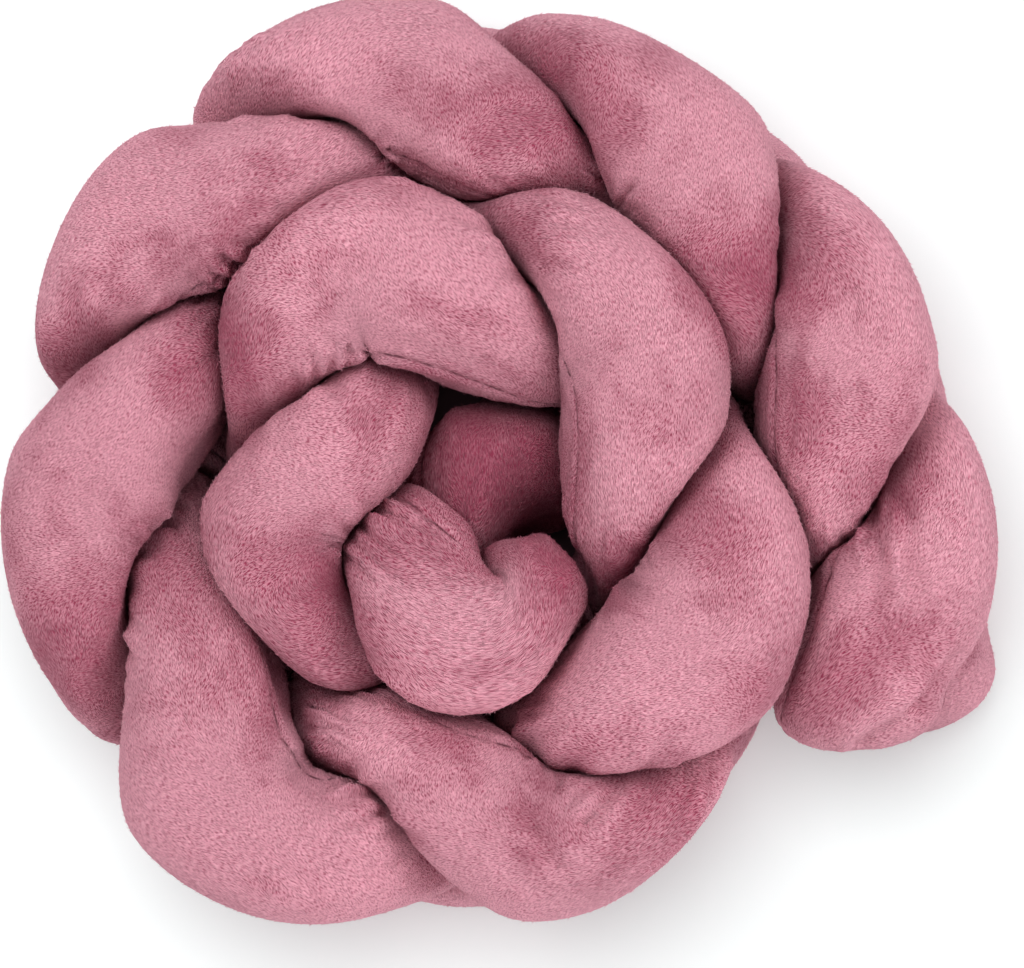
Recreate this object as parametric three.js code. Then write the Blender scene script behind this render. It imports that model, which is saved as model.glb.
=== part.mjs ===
// Crib bumper: three stuffed plush tubes in a flat plait, stood on edge and coiled like a rose.
// Millimetres, +Z up, with the origin on the floor under the middle of the coil.
import * as THREE from 'three';

const { clamp, degToRad, lerp, smoothstep } = THREE.MathUtils;

// one stuffed tube
const TUBE_RADIUS = 50;
const PLUSH_COLOUR = 0xcd8a9a;

// how the tubes run through the plait
const FOOT_HEIGHT = 40; // height of a tube's middle where it runs along the floor
const FULLNESS = 0.14; // how much longer than a plain wave a lobe stays high, and a foot low
const SWAY = 27; // how far a tube swings to either face of the plait
const SWAY_RIPPLE = 0.12; // share of a second, quicker wave in that swing
const SWAY_LAG = degToRad(28); // how far the swing trails behind the rise
const EVENING = 0.2; // lobes to either side over which stuffing evens out a tube's bends
const TURN_PER_LOBE = (2 * Math.PI) / 3; // three tubes take turns along the top edge
const CREST_TURN = Math.PI / 2;

// how soft tubes give way to each other
const SQUASH = 0.2; // share of its thickness that a tube loses where two cross
const SPREAD = 0.45; // share of that loss that comes back as width
const PUSH = 0.08; // how much harder the upper of two crossing tubes presses
const YIELDING = 8; // how far a crossing moves outwards for each whole number of cover
const MOST_GROUND = 0.4; // most ground that pressing wins, as a share of what lies between two tubes
const GAP = 2.7; // from a tube's skin to the middle of a contact
const BOXINESS = 2.5; // 2 gives a free tube an oval section, and a higher number a squarer one
const FIRMNESS = 7; // a higher number makes flatter contacts with tighter edges
const OWN_REACH = 20; // nearer than this along itself, a tube doesn't press on itself
const FLOOR_GIVE = 6; // how far a tube would sink before the floor stops it for good
const STEEPEST = 1; // taut skin rises from a pressed place no faster than this

// spacing of the facets and of the points that press
const RING_STEP = 22;
const RING_SIDES = 20;
const CAP_LENGTH = 45;
const CAP_RINGS = 3;
const PRESS_STEP = 6;

// One row for each lobe along the top edge, from the eye of the coil outwards.
// x and y place the lobe's middle, crest is the height of the tube's middle there, girth is a share
// of the radius, lean tips the plait outwards in degrees, swing is a share of the sway, and cover is
// above nought where the lobe lies over the next one out, and below where it lies under.
const FIRST_LOBE = -2;
const LOBES = [
  { x: -40, y: 18, crest: 66, girth: 1, lean: 0, swing: 1, cover: 1 },
  { x: 8, y: 8, crest: 88, girth: 1.25, lean: 0, swing: 0.6, cover: 1 },
  { x: -15, y: -92, crest: 150, girth: 1.15, lean: 0, swing: 0.65, cover: 1 },
  { x: -114, y: -36, crest: 142, girth: 1.06, lean: 0, swing: 1, cover: 0.5 },
  { x: -70, y: 104, crest: 150, girth: 1.16, lean: 0, swing: 0.8, cover: 2 },
  { x: 80, y: 58, crest: 152, girth: 1.06, lean: 0, swing: 0.9, cover: 0 },
  { x: 107, y: -98, crest: 150, girth: 1.14, lean: 0, swing: 0.9, cover: 1 },
  { x: 18, y: -199, crest: 138, girth: 1.05, lean: 0, swing: 1.0, cover: -0.5 },
  { x: -152, y: -174, crest: 138, girth: 1.14, lean: 12, swing: 1.2, cover: 2.2 },
  { x: -217, y: -8, crest: 136, girth: 0.98, lean: 14, swing: 1, cover: 1 },
  { x: -167, y: 133, crest: 136, girth: 1.06, lean: 8, swing: 1, cover: 2.2 },
  { x: -44, y: 201, crest: 136, girth: 1.03, lean: 6, swing: 1, cover: 1.5 },
  { x: 101, y: 158, crest: 136, girth: 1.06, lean: 0, swing: 1, cover: 0.7 },
  { x: 188, y: 57, crest: 136, girth: 1.06, lean: 0, swing: 1, cover: 1 },
  { x: 216, y: -68, crest: 126, girth: 1.1, lean: 0, swing: 0.8, cover: 1 },
  { x: 204, y: -170, crest: 112, girth: 1.12, lean: 0, swing: 0.4, cover: 1 },
];

// One row for each tube: the lobe it takes first, where it starts and stops along the plait, and how
// its outer end drops to the floor, flares outwards (mm) and flattens, over the last stretch of tail.
const TUBES = [
  { name: 'tube_a', takes: 0, from: -0.48, to: 12.68, tail: 0.7, drop: 0, flare: 0, flatten: 0 },
  { name: 'tube_b', takes: 1, from: 0, to: 12, tail: 0.7, drop: 0, flare: 0, flatten: 0 },
  { name: 'tube_c', takes: 2, from: -1.4, to: 12.8, tail: 0.7, drop: 0.8, flare: 31, flatten: 0.3 },
];

function tableCurve(columns) {
  const points = LOBES.map((row) => new THREE.Vector3(...columns.map((column) => row[column])));
  return new THREE.CatmullRomCurve3(points, false, 'catmullrom', 0.5);
}

const COURSE = tableCurve(['x', 'y', 'crest']);
const MANNER = tableCurve(['girth', 'lean', 'swing']);
const CROSSING = tableCurve(['cover']);

// The middle line of one tube as it weaves through the plait
class TubeLine extends THREE.Curve {
  constructor(tube) {
    super();
    this.tube = tube;
    this.arcLengthDivisions = 1500;
  }

  // What holds at a share of the tube's way: turn is the angle of its weave
  station(share) {
    const { from, to, takes, tail } = this.tube;
    const lobe = lerp(from, to, share);
    const steps = LOBES.length - 1;
    const along = clamp((lobe - FIRST_LOBE) / steps, 0, 1);
    const manner = MANNER.getPoint(along);
    const crossing = clamp(along - 0.5 / steps, 0, 1); // a lobe meets the next one midway
    return {
      course: COURSE.getPoint(along),
      facing: outwardFrom(COURSE.getTangent(along)),
      turn: CREST_TURN + TURN_PER_LOBE * (lobe - takes),
      girth: manner.x,
      lean: degToRad(manner.y),
      swing: manner.z,
      cover: CROSSING.getPoint(crossing).x,
      ending: smoothstep(lobe, to - tail, to),
    };
  }

  getPoint(share, target = new THREE.Vector3()) {
    const reach = EVENING / (this.tube.to - this.tube.from);
    const sides = this.weave(share - reach).add(this.weave(share + reach));
    return target.copy(this.weave(share)).multiplyScalar(2).add(sides).divideScalar(4);
  }

  // Where the tube would run if it bent freely
  weave(share) {
    const { course, facing, turn, lean, swing, cover, ending } = this.station(share);
    const crest = course.z;
    const rise = (Math.sin(turn) + FULLNESS * Math.sin(3 * turn)) / (1 - FULLNESS);
    const risen = lerp(FOOT_HEIGHT, crest, (1 + rise) / 2);
    const height = lerp(risen, FOOT_HEIGHT, this.tube.drop * ending);
    const wave = Math.sin(2 * turn - SWAY_LAG) - Math.sin(SWAY_LAG) + SWAY_RIPPLE * Math.sin(4 * turn);
    const tipped = Math.tan(lean) * (height - crest);
    const given = YIELDING * cover * Math.cos(turn) ** 2;
    const aside = SWAY * swing * wave + given + this.tube.flare * ending + tipped;
    return course.setZ(height).addScaledVector(facing, aside);
  }

  // Half the tube's thickness from face to face of the plait, and half its width up and down
  halves(share) {
    const { turn, girth, swing, ending } = this.station(share);
    const squash = SQUASH * swing * Math.abs(Math.sin(2 * turn));
    const radius = TUBE_RADIUS * girth;
    return {
      thick: radius * (1 - squash),
      wide: radius * (1 + SPREAD * squash) * (1 - this.tube.flatten * ending),
    };
  }

  pressure(share) {
    const { turn, girth, cover } = this.station(share);
    return (TUBE_RADIUS * girth * (1 - PUSH * cover * Math.cos(turn))) ** 2;
  }
}

function outwardFrom(tangent) {
  return new THREE.Vector3(-tangent.y, tangent.x, 0).normalize();
}

const LINES = TUBES.map((tube) => new TubeLine(tube));

// Points along a tube's middle line that press on whatever lies beside it
function pressingPoints(line) {
  const length = line.getLength();
  const steps = Math.ceil(length / PRESS_STEP);
  return Array.from({ length: steps + 1 }, (_, step) => {
    const share = line.getUtoTmapping(step / steps);
    return {
      line,
      at: (length * step) / steps,
      point: line.getPoint(share),
      pressure: line.pressure(share),
    };
  });
}

const PRESSING = LINES.flatMap(pressingPoints);

// How far skin can go from a middle point before it meets the plane shared with a pressing point
function roomToward(direction, spot) {
  let room = Infinity;
  for (const { line, at, point, pressure } of PRESSING) {
    const own = line === spot.line;
    if (own && Math.abs(at - spot.at) < OWN_REACH) {
      continue;
    }
    const offset = point.clone().sub(spot.point);
    const facing = offset.dot(direction);
    if (facing > 0) {
      const square = offset.lengthSq();
      const most = own ? 0 : MOST_GROUND * square;
      const contest = clamp(spot.pressure - pressure, -most, most);
      room = Math.min(room, (square + contest) / (2 * facing));
    }
  }
  return Math.max(room - GAP, room / 2);
}

// How far skin can go from a middle point before it is this far below the floor
function roomToFloor(direction, point, below) {
  return direction.z < 0 ? (point.z + below) / -direction.z : Infinity;
}

// Where the rings of skin stand along a tube, with how open each is: nought at the closed tips
function ringPlaces(length) {
  const places = [];
  for (let ring = 1; ring <= CAP_RINGS; ring += 1) {
    const angle = (ring / (CAP_RINGS + 1)) * (Math.PI / 2);
    places.push({ at: CAP_LENGTH * (1 - Math.cos(angle)), open: Math.sin(angle) });
  }
  const caps = places.map(({ at, open }) => ({ at: length - at, open })).reverse();
  const middle = length - 2 * CAP_LENGTH;
  const steps = Math.round(middle / RING_STEP);
  for (let step = 0; step <= steps; step += 1) {
    places.push({ at: CAP_LENGTH + (middle * step) / steps, open: 1 });
  }
  return [...places, ...caps];
}

// What one ring of skin is drawn from: its middle, the ways out of it and how far skin could go
function ringSpread(line, length, { at, open }) {
  const share = line.getUtoTmapping(at / length);
  const spot = { line, at, point: line.getPoint(share), pressure: line.pressure(share) };
  const tangent = line.getTangent(share);
  const across = line.station(share).facing.projectOnPlane(tangent).normalize();
  const upward = new THREE.Vector3().crossVectors(tangent, across);
  const { thick, wide } = line.halves(share);
  const directions = [];
  const reaches = [];
  for (let side = 0; side < RING_SIDES; side += 1) {
    const angle = (side / RING_SIDES) * 2 * Math.PI;
    const direction = across.clone().multiplyScalar(Math.cos(angle));
    direction.addScaledVector(upward, Math.sin(angle));
    const sideways = Math.abs(Math.cos(angle) / thick) ** BOXINESS;
    const upright = Math.abs(Math.sin(angle) / wide) ** BOXINESS;
    const free = (sideways + upright) ** (-1 / BOXINESS);
    const room = Math.min(roomToward(direction, spot), roomToFloor(direction, spot.point, FLOOR_GIVE));
    directions.push(direction);
    reaches.push((free ** -FIRMNESS + room ** -FIRMNESS) ** (-1 / FIRMNESS));
  }
  return { at, open, middle: spot.point, directions, reaches };
}

// Draws taut skin down beside a pressed place, first along the tube and then back again
function tauten(spreads) {
  const order = [...spreads.keys()];
  const sideStep = (2 * Math.PI * TUBE_RADIUS) / RING_SIDES;
  for (const rings of [order, order.toReversed()]) {
    for (const [place, ring] of rings.entries()) {
      const { at, reaches } = spreads[ring];
      const before = spreads[rings[Math.max(place - 1, 0)]];
      const ringStep = Math.abs(at - before.at);
      const around = [...reaches.keys()];
      for (const side of [...around, ...around, ...around.toReversed(), ...around.toReversed()]) {
        reaches[side] = Math.min(
          reaches[side],
          before.reaches[side] + STEEPEST * ringStep,
          reaches.at(side - 1) + STEEPEST * sideStep,
          reaches[(side + 1) % RING_SIDES] + STEEPEST * sideStep,
        );
      }
    }
  }
}

// One ring of skin, which stops at the floor
function ringPoints({ open, middle, directions, reaches }) {
  return directions.map((direction, side) => {
    const toFloor = roomToFloor(direction, middle, 0);
    const reach = Math.min(reaches[side] * open, toFloor);
    const skin = middle.clone().addScaledVector(direction, reach);
    return reach === toFloor ? skin.setZ(0) : skin;
  });
}

// A stuffed tube as one closed skin: rings joined side to side, with a point at each tip
function tubeGeometry(line) {
  const length = line.getLength();
  const spreads = ringPlaces(length).map((place) => ringSpread(line, length, place));
  tauten(spreads);
  const rings = spreads.map(ringPoints);
  const points = [line.getPoint(0), ...rings.flat(), line.getPoint(1)];
  const corner = (ring, side) => 1 + ring * RING_SIDES + (side % RING_SIDES);
  const firstTip = 0;
  const lastTip = points.length - 1;
  const lastRing = rings.length - 1;
  const faces = [];
  for (let side = 0; side < RING_SIDES; side += 1) {
    faces.push(firstTip, corner(0, side + 1), corner(0, side));
    for (let ring = 0; ring < lastRing; ring += 1) {
      const near = corner(ring, side);
      const far = corner(ring + 1, side + 1);
      faces.push(near, corner(ring, side + 1), far);
      faces.push(near, far, corner(ring + 1, side));
    }
    faces.push(lastTip, corner(lastRing, side), corner(lastRing, side + 1));
  }
  const geometry = new THREE.BufferGeometry().setFromPoints(points);
  geometry.setIndex(faces);
  geometry.computeVertexNormals();
  return geometry;
}

const bumper = new THREE.Group();
for (const line of LINES) {
  const plush = new THREE.MeshStandardMaterial({ color: PLUSH_COLOUR, roughness: 0.95, metalness: 0 });
  const tube = new THREE.Mesh(tubeGeometry(line), plush);
  tube.name = line.tube.name;
  bumper.add(tube);
}

// the middle of the coil's box comes over the origin
const middle = new THREE.Box3().setFromObject(bumper).getCenter(new THREE.Vector3());
bumper.position.set(-middle.x, -middle.y, 0);

export default bumper;
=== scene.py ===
"""Looks of a braided crib bumper: three stuffed plush tubes in a flat plait, coiled like a rose.

Metres, +Z up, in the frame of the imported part.
"""

from __future__ import annotations

import logging
import math
from dataclasses import dataclass, field
from enum import Enum, IntEnum
from typing import Any, Union

import bpy
import numpy as np
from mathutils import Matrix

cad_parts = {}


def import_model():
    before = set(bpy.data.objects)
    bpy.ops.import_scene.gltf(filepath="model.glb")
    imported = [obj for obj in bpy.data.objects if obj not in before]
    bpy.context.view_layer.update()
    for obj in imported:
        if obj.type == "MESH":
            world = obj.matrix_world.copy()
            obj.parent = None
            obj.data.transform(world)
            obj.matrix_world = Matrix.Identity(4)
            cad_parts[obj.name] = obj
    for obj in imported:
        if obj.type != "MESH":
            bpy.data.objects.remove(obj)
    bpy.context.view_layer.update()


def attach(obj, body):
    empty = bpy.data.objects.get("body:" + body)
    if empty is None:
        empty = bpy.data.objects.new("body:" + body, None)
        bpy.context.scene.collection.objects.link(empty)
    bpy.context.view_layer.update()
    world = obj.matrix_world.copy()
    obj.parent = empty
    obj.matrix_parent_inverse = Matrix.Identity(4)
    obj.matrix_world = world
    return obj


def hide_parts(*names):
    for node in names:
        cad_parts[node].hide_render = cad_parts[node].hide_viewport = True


LOG = logging.getLogger("crib_bumper")
PLUSH_SLOT = "rose_plush"
BODY = "root"

FULL_TURN = 2 * math.pi
TURN_PER_LOBE = FULL_TURN / 3
CREST_TURN = math.pi / 2
FIRST_LOBE = -2
HALF_LOBE = 0.5
GRID_EDGE = 0.001

Span = tuple[float, float]
Colour = tuple[float, float, float, float]
BLACK: Colour = (0.0, 0.0, 0.0, 1.0)
WHITE: Colour = (1.0, 1.0, 1.0, 1.0)


class Draw(IntEnum):
    """What each random field of a tube is for, as a number that is added to the tube's own seed."""

    LUMPS = 0
    RIDGES = 1
    STRAYS = 2
    DRIFT = 3
    SWIRL = 4
    MOTTLE = 5
    LOCKS = 50


@dataclass(frozen=True)
class Lobe:
    """One lobe of the plait's top edge: its place, and how the tubes run there.

    x, y and crest place the tube's middle, girth is a share of the tube's radius, lean tips the plait
    outwards in degrees, and swing is a share of the tubes' sway. cover is above nought where the lobe
    lies over the next one out, and below where it lies under.
    """

    x: float
    y: float
    crest: float
    girth: float = 1.0
    lean: float = 0.0
    swing: float = 1.0
    cover: float = 1.0


LOBES = (
    Lobe(x=-0.040, y=0.018, crest=0.066),
    Lobe(x=0.008, y=0.008, crest=0.088, girth=1.25, swing=0.6),
    Lobe(x=-0.015, y=-0.092, crest=0.150, girth=1.15, swing=0.65),
    Lobe(x=-0.114, y=-0.036, crest=0.142, girth=1.06, cover=0.5),
    Lobe(x=-0.070, y=0.104, crest=0.150, girth=1.16, swing=0.8, cover=2),
    Lobe(x=0.080, y=0.058, crest=0.152, girth=1.06, swing=0.9, cover=0),
    Lobe(x=0.107, y=-0.098, crest=0.150, girth=1.14, swing=0.9),
    Lobe(x=0.018, y=-0.199, crest=0.138, girth=1.05, cover=-0.5),
    Lobe(x=-0.152, y=-0.174, crest=0.138, girth=1.14, lean=12, swing=1.2, cover=2.2),
    Lobe(x=-0.217, y=-0.008, crest=0.136, girth=0.98, lean=14),
    Lobe(x=-0.167, y=0.133, crest=0.136, girth=1.06, lean=8, cover=2.2),
    Lobe(x=-0.044, y=0.201, crest=0.136, girth=1.03, lean=6, cover=1.5),
    Lobe(x=0.101, y=0.158, crest=0.136, girth=1.06, cover=0.7),
    Lobe(x=0.188, y=0.057, crest=0.136, girth=1.06),
    Lobe(x=0.216, y=-0.068, crest=0.126, girth=1.1, swing=0.8),
    Lobe(x=0.204, y=-0.170, crest=0.112, girth=1.12, swing=0.4),
)


class TubeEnd(Enum):
    """How a tube's outer end is closed."""

    ROUND = "gathered to a round tip"
    SEWN_FLAT = "sewn shut along a straight line"


@dataclass(frozen=True)
class TubePlan:
    """Where one tube runs in the plait: the lobe it takes first, its ends, and how its outer end lies.

    first and last are counted in lobes. Over the last stretch of tail the end drops towards the floor,
    flares outwards and flattens. seam is the angle of the sewn seam round the tube, from outwards
    through up, in degrees.
    """

    name: str
    takes: int
    first: float
    last: float
    tail: float = 0.7
    drop: float = 0.0
    flare: float = 0.0
    flatten: float = 0.0
    seam: float = 140.0
    end: TubeEnd = TubeEnd.ROUND


TUBES = (
    TubePlan("tube_a", takes=0, first=-0.48, last=12.68, end=TubeEnd.SEWN_FLAT),
    TubePlan("tube_b", takes=1, first=0.0, last=12.0, seam=215.0),
    TubePlan("tube_c", takes=2, first=-1.4, last=12.8, drop=0.8, flare=0.031, flatten=0.3),
)


@dataclass(frozen=True)
class Patch:
    """A soft round patch on the plush: its middle as seen from above, its reach and its strength."""

    x: float
    y: float
    reach: float
    depth: float = 1.0


@dataclass(frozen=True)
class Fold:
    """A fold pressed into the plush along a straight line, as seen from above.

    A low ridge stands on both sides of it: ridge is a share of its depth, and ridge_away is counted in
    widths.
    """

    start: Span
    stop: Span
    depth: float = 0.0032
    width: float = 0.0040
    ridge: float = 0.4
    ridge_away: float = 2.2


# Patches where the pile is brushed up and darker, with painted shade among them at a crease and in the
# coil's eye.
BRUSHED_UP_AND_SHADE = (
    Patch(x=0.022, y=0.172, reach=0.040),
    Patch(x=0.033, y=0.210, reach=0.022, depth=0.8),
    Patch(x=0.127, y=0.103, reach=0.038),
    Patch(x=0.162, y=0.033, reach=0.032, depth=0.7),
    Patch(x=0.162, y=0.113, reach=0.025, depth=0.6),
    Patch(x=0.205, y=-0.021, reach=0.022, depth=0.8),
    Patch(x=0.190, y=-0.110, reach=0.042, depth=0.8),
    Patch(x=-0.238, y=0.054, reach=0.030, depth=0.9),
    Patch(x=-0.233, y=-0.091, reach=0.042),
    Patch(x=-0.157, y=0.070, reach=0.025, depth=0.8),
    Patch(x=-0.176, y=-0.053, reach=0.030, depth=0.8),
    Patch(x=-0.131, y=-0.118, reach=0.030, depth=0.9),
    Patch(x=0.040, y=-0.188, reach=0.040, depth=0.7),
    Patch(x=0.108, y=-0.182, reach=0.030, depth=0.8),
    Patch(x=-0.139, y=0.049, reach=0.030),
    Patch(x=0.117, y=-0.037, reach=0.032, depth=0.9),
    Patch(x=-0.090, y=-0.085, reach=0.042, depth=1.2),
    Patch(x=-0.053, y=0.033, reach=0.025, depth=0.6),
    Patch(x=0.036, y=-0.064, reach=0.020, depth=0.7),
    Patch(x=0.060, y=-0.058, reach=0.028, depth=0.7),
    # Painted shade: the coil's eye, deep between the tubes.
    Patch(x=0.001, y=-0.010, reach=0.048, depth=1.8),
    Patch(x=0.058, y=0.175, reach=0.022, depth=0.8),
    Patch(x=-0.112, y=0.108, reach=0.035, depth=0.6),
    Patch(x=-0.152, y=0.116, reach=0.035, depth=0.5),
    Patch(x=-0.125, y=-0.040, reach=0.030, depth=0.6),
    Patch(x=-0.214, y=-0.064, reach=0.025, depth=0.6),
    Patch(x=-0.026, y=-0.155, reach=0.040, depth=0.5),
    Patch(x=0.141, y=-0.123, reach=0.025, depth=0.6),
    Patch(x=0.182, y=-0.002, reach=0.035, depth=0.5),
    Patch(x=-0.031, y=0.181, reach=0.035, depth=0.5),
    # Painted shade: where a lobe dips below its neighbours at a crease.
    Patch(x=0.127, y=0.075, reach=0.030, depth=0.9),
    Patch(x=0.214, y=-0.118, reach=0.032, depth=0.4),
)

GATHERED = (
    Patch(x=-0.130, y=0.212, reach=0.024, depth=1.4),
    Patch(x=-0.047, y=0.167, reach=0.022, depth=0.8),
    Patch(x=-0.144, y=0.107, reach=0.030),
    Patch(x=-0.076, y=0.062, reach=0.032),
    Patch(x=-0.096, y=-0.166, reach=0.045),
    Patch(x=-0.079, y=-0.043, reach=0.035),
    Patch(x=-0.187, y=-0.037, reach=0.028, depth=0.7),
    Patch(x=-0.205, y=-0.105, reach=0.024, depth=0.5),
    Patch(x=0.082, y=-0.053, reach=0.025, depth=0.5),
    Patch(x=0.025, y=0.107, reach=0.030, depth=0.6),
    Patch(x=0.070, y=0.147, reach=0.028, depth=0.5),
    Patch(x=0.205, y=-0.040, reach=0.032),
    Patch(x=0.100, y=-0.160, reach=0.030, depth=0.9),
    Patch(x=0.020, y=-0.160, reach=0.030, depth=0.7),
)

FOLDS = (
    Fold(start=(0.199, -0.026), stop=(0.201, -0.072)),
    Fold(start=(0.212, -0.021), stop=(0.219, -0.067)),
    Fold(start=(0.194, -0.153), stop=(0.224, -0.132), depth=0.0045),
    Fold(start=(0.224, -0.132), stop=(0.243, -0.104), depth=0.0045),
    Fold(start=(0.012, -0.180), stop=(0.031, -0.212)),
    Fold(start=(0.046, -0.189), stop=(0.063, -0.171)),
)


def smoothstep(value: np.ndarray, low: float, high: float) -> np.ndarray:
    """Returns a soft step from 0 at low to 1 at high."""
    share = np.clip((value - low) / (high - low), 0, 1)
    return share * share * (3 - 2 * share)


def unit(vectors: np.ndarray) -> np.ndarray:
    """Returns vectors of length one along the last axis."""
    return vectors / np.linalg.norm(vectors, axis=-1, keepdims=True)


class LobeCurve:
    """A smooth curve through one row of values for each lobe."""

    def __init__(self, rows: np.ndarray) -> None:
        """Keeps the rows and works out the slope at each.

        Args:
            rows: One row of values for each lobe.
        """
        self.rows = rows
        ends = np.vstack([2 * rows[0] - rows[1], rows, 2 * rows[-1] - rows[-2]])
        self.slopes = (ends[2:] - ends[:-2]) / 2

    def _cubic(self, place: np.ndarray) -> tuple[np.ndarray, ...]:
        """Finds the cubic that runs from each row to the next.

        Args:
            place: Places along the curve, counted in rows from the first.

        Returns:
            The share of the way to the next row, and the factors of its powers, from nought to three.
        """
        low = np.clip(np.floor(place).astype(int), 0, len(self.rows) - 2)
        start, stop = self.rows[low], self.rows[low + 1]
        leaving, arriving = self.slopes[low], self.slopes[low + 1]
        square = 3 * (stop - start) - 2 * leaving - arriving
        cubic = 2 * (start - stop) + leaving + arriving
        return (place - low)[:, None], start, leaving, square, cubic

    def at(self, place: np.ndarray) -> np.ndarray:
        """Returns the curve's values at places counted in rows from the first."""
        t, start, leaving, square, cubic = self._cubic(place)
        return ((cubic * t + square) * t + leaving) * t + start

    def slope_at(self, place: np.ndarray) -> np.ndarray:
        """Returns how fast the curve's values change at places counted in rows from the first."""
        t, _, leaving, square, cubic = self._cubic(place)
        return (3 * cubic * t + 2 * square) * t + leaving


@dataclass
class TubeSpots:
    """What holds at places along one tube's middle line, as arrays with a row for each place."""

    at: np.ndarray
    middle: np.ndarray
    tangent: np.ndarray
    across: np.ndarray
    upward: np.ndarray
    thick: np.ndarray
    wide: np.ndarray
    pressure: np.ndarray


@dataclass(frozen=True)
class Plait:
    """The coiled plait: how its tubes weave through each other, and how they give way."""

    radius: float = 0.0485
    foot_height: float = 0.040
    fullness: float = 0.14
    sway: float = 0.027
    sway_ripple: float = 0.12
    sway_lag: float = math.radians(28)
    evening: float = 0.2
    squash: float = 0.2
    spread: float = 0.45
    push: float = 0.08
    yielding: float = 0.008
    most_ground: float = 0.4
    gap: float = 0.0010
    own_reach: float = 0.020
    press_step: float = 0.005
    press_range: float = 0.20
    line_points: int = 6000

    @property
    def course(self) -> LobeCurve:
        """The line of the lobes: x, y and crest height."""
        return LobeCurve(np.array([[lobe.x, lobe.y, lobe.crest] for lobe in LOBES]))

    @property
    def manner(self) -> LobeCurve:
        """Girth, lean and swing along the lobes."""
        return LobeCurve(np.array([[lobe.girth, lobe.lean, lobe.swing] for lobe in LOBES]))

    def cover(self, lobe: np.ndarray) -> np.ndarray:
        """Returns which of two crossing lobes lies on top, at places counted in lobes."""
        curve = LobeCurve(np.array([[row.cover] for row in LOBES]))
        return curve.at(lobe - FIRST_LOBE - HALF_LOBE)[:, 0]

    def middle(self, tube: TubePlan, lobe: np.ndarray) -> np.ndarray:
        """Follows a tube's middle line through the plait, evened out because a stuffed tube can't kink.

        Args:
            tube: The tube's plan.
            lobe: Places along the plait, counted in lobes.

        Returns:
            One point for each place.
        """
        before, after = self.weave(tube, lobe - self.evening), self.weave(tube, lobe + self.evening)
        return (before + 2 * self.weave(tube, lobe) + after) / 4

    def weave(self, tube: TubePlan, lobe: np.ndarray) -> np.ndarray:
        """Follows the line on which a tube would run through the plait if it bent freely.

        Args:
            tube: The tube's plan.
            lobe: Places along the plait, counted in lobes.

        Returns:
            One point for each place.
        """
        lobe = np.clip(lobe, FIRST_LOBE, FIRST_LOBE + len(LOBES) - 1)
        course = self.course.at(lobe - FIRST_LOBE)
        facing = self.facing(lobe)
        _, lean, swing = self.manner.at(lobe - FIRST_LOBE).T
        turn = self.turn(tube, lobe)
        ending = smoothstep(lobe, tube.last - tube.tail, tube.last)
        crest = course[:, 2]
        rise = (np.sin(turn) + self.fullness * np.sin(3 * turn)) / (1 - self.fullness)
        risen = self.foot_height + (crest - self.foot_height) * (1 + rise) / 2
        height = risen + (self.foot_height - risen) * tube.drop * ending
        wave = np.sin(2 * turn - self.sway_lag) - math.sin(self.sway_lag)
        wave = wave + self.sway_ripple * np.sin(4 * turn)
        tipped = np.tan(np.radians(lean)) * (height - crest)
        given = self.yielding * self.cover(lobe) * np.cos(turn) ** 2
        aside = self.sway * swing * wave + given + tube.flare * ending + tipped
        points = course + facing * aside[:, None]
        points[:, 2] = height
        return points

    def facing(self, lobe: np.ndarray) -> np.ndarray:
        """Finds the level way out of the coil, square to the line of the lobes.

        Args:
            lobe: Places along the plait, counted in lobes.

        Returns:
            One direction for each place.
        """
        heading = self.course.slope_at(lobe - FIRST_LOBE)
        outward = np.stack([-heading[:, 1], heading[:, 0], np.zeros(len(lobe))], axis=1)
        return unit(outward)

    def turn(self, tube: TubePlan, lobe: np.ndarray) -> np.ndarray:
        """Returns the angle of a tube's weave at places counted in lobes."""
        return CREST_TURN + TURN_PER_LOBE * (lobe - tube.takes)

    def line(self, tube: TubePlan) -> tuple[np.ndarray, np.ndarray]:
        """Measures a tube along its middle line.

        Args:
            tube: The tube's plan.

        Returns:
            Places counted in lobes, and the length of tube up to each.
        """
        lobe = np.linspace(tube.first, tube.last, self.line_points)
        steps = np.linalg.norm(np.diff(self.middle(tube, lobe), axis=0), axis=1)
        return lobe, np.concatenate([[0.0], np.cumsum(steps)])

    def spots(self, tube: TubePlan, at: np.ndarray) -> TubeSpots:
        """Works out what holds at lengths along a tube.

        Args:
            tube: The tube's plan.
            at: Lengths along the tube's middle line.

        Returns:
            The tube's middle, directions, half sizes and pressure there.
        """
        lobes, lengths = self.line(tube)
        lobe = np.interp(at, lengths, lobes)
        tick = (tube.last - tube.first) / self.line_points
        tangent = unit(self.middle(tube, lobe + tick) - self.middle(tube, lobe - tick))
        facing = self.facing(lobe)
        across = unit(facing - tangent * np.sum(facing * tangent, axis=1)[:, None])
        girth, _, swing = self.manner.at(lobe - FIRST_LOBE).T
        turn = self.turn(tube, lobe)
        ending = smoothstep(lobe, tube.last - tube.tail, tube.last)
        squash = self.squash * swing * np.abs(np.sin(2 * turn))
        return TubeSpots(
            at=at,
            middle=self.middle(tube, lobe),
            tangent=tangent,
            across=across,
            upward=np.cross(tangent, across),
            thick=self.radius * girth * (1 - squash),
            wide=self.radius * girth * (1 + self.spread * squash) * (1 - tube.flatten * ending),
            pressure=(self.radius * girth * (1 - self.push * self.cover(lobe) * np.cos(turn))) ** 2,
        )

    def pressing(self, tube: TubePlan) -> TubeSpots:
        """Returns spots along a tube, close together, that press on whatever lies beside it."""
        length = self.line(tube)[1][-1]
        return self.spots(tube, np.linspace(0, length, math.ceil(length / self.press_step) + 1))

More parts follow.
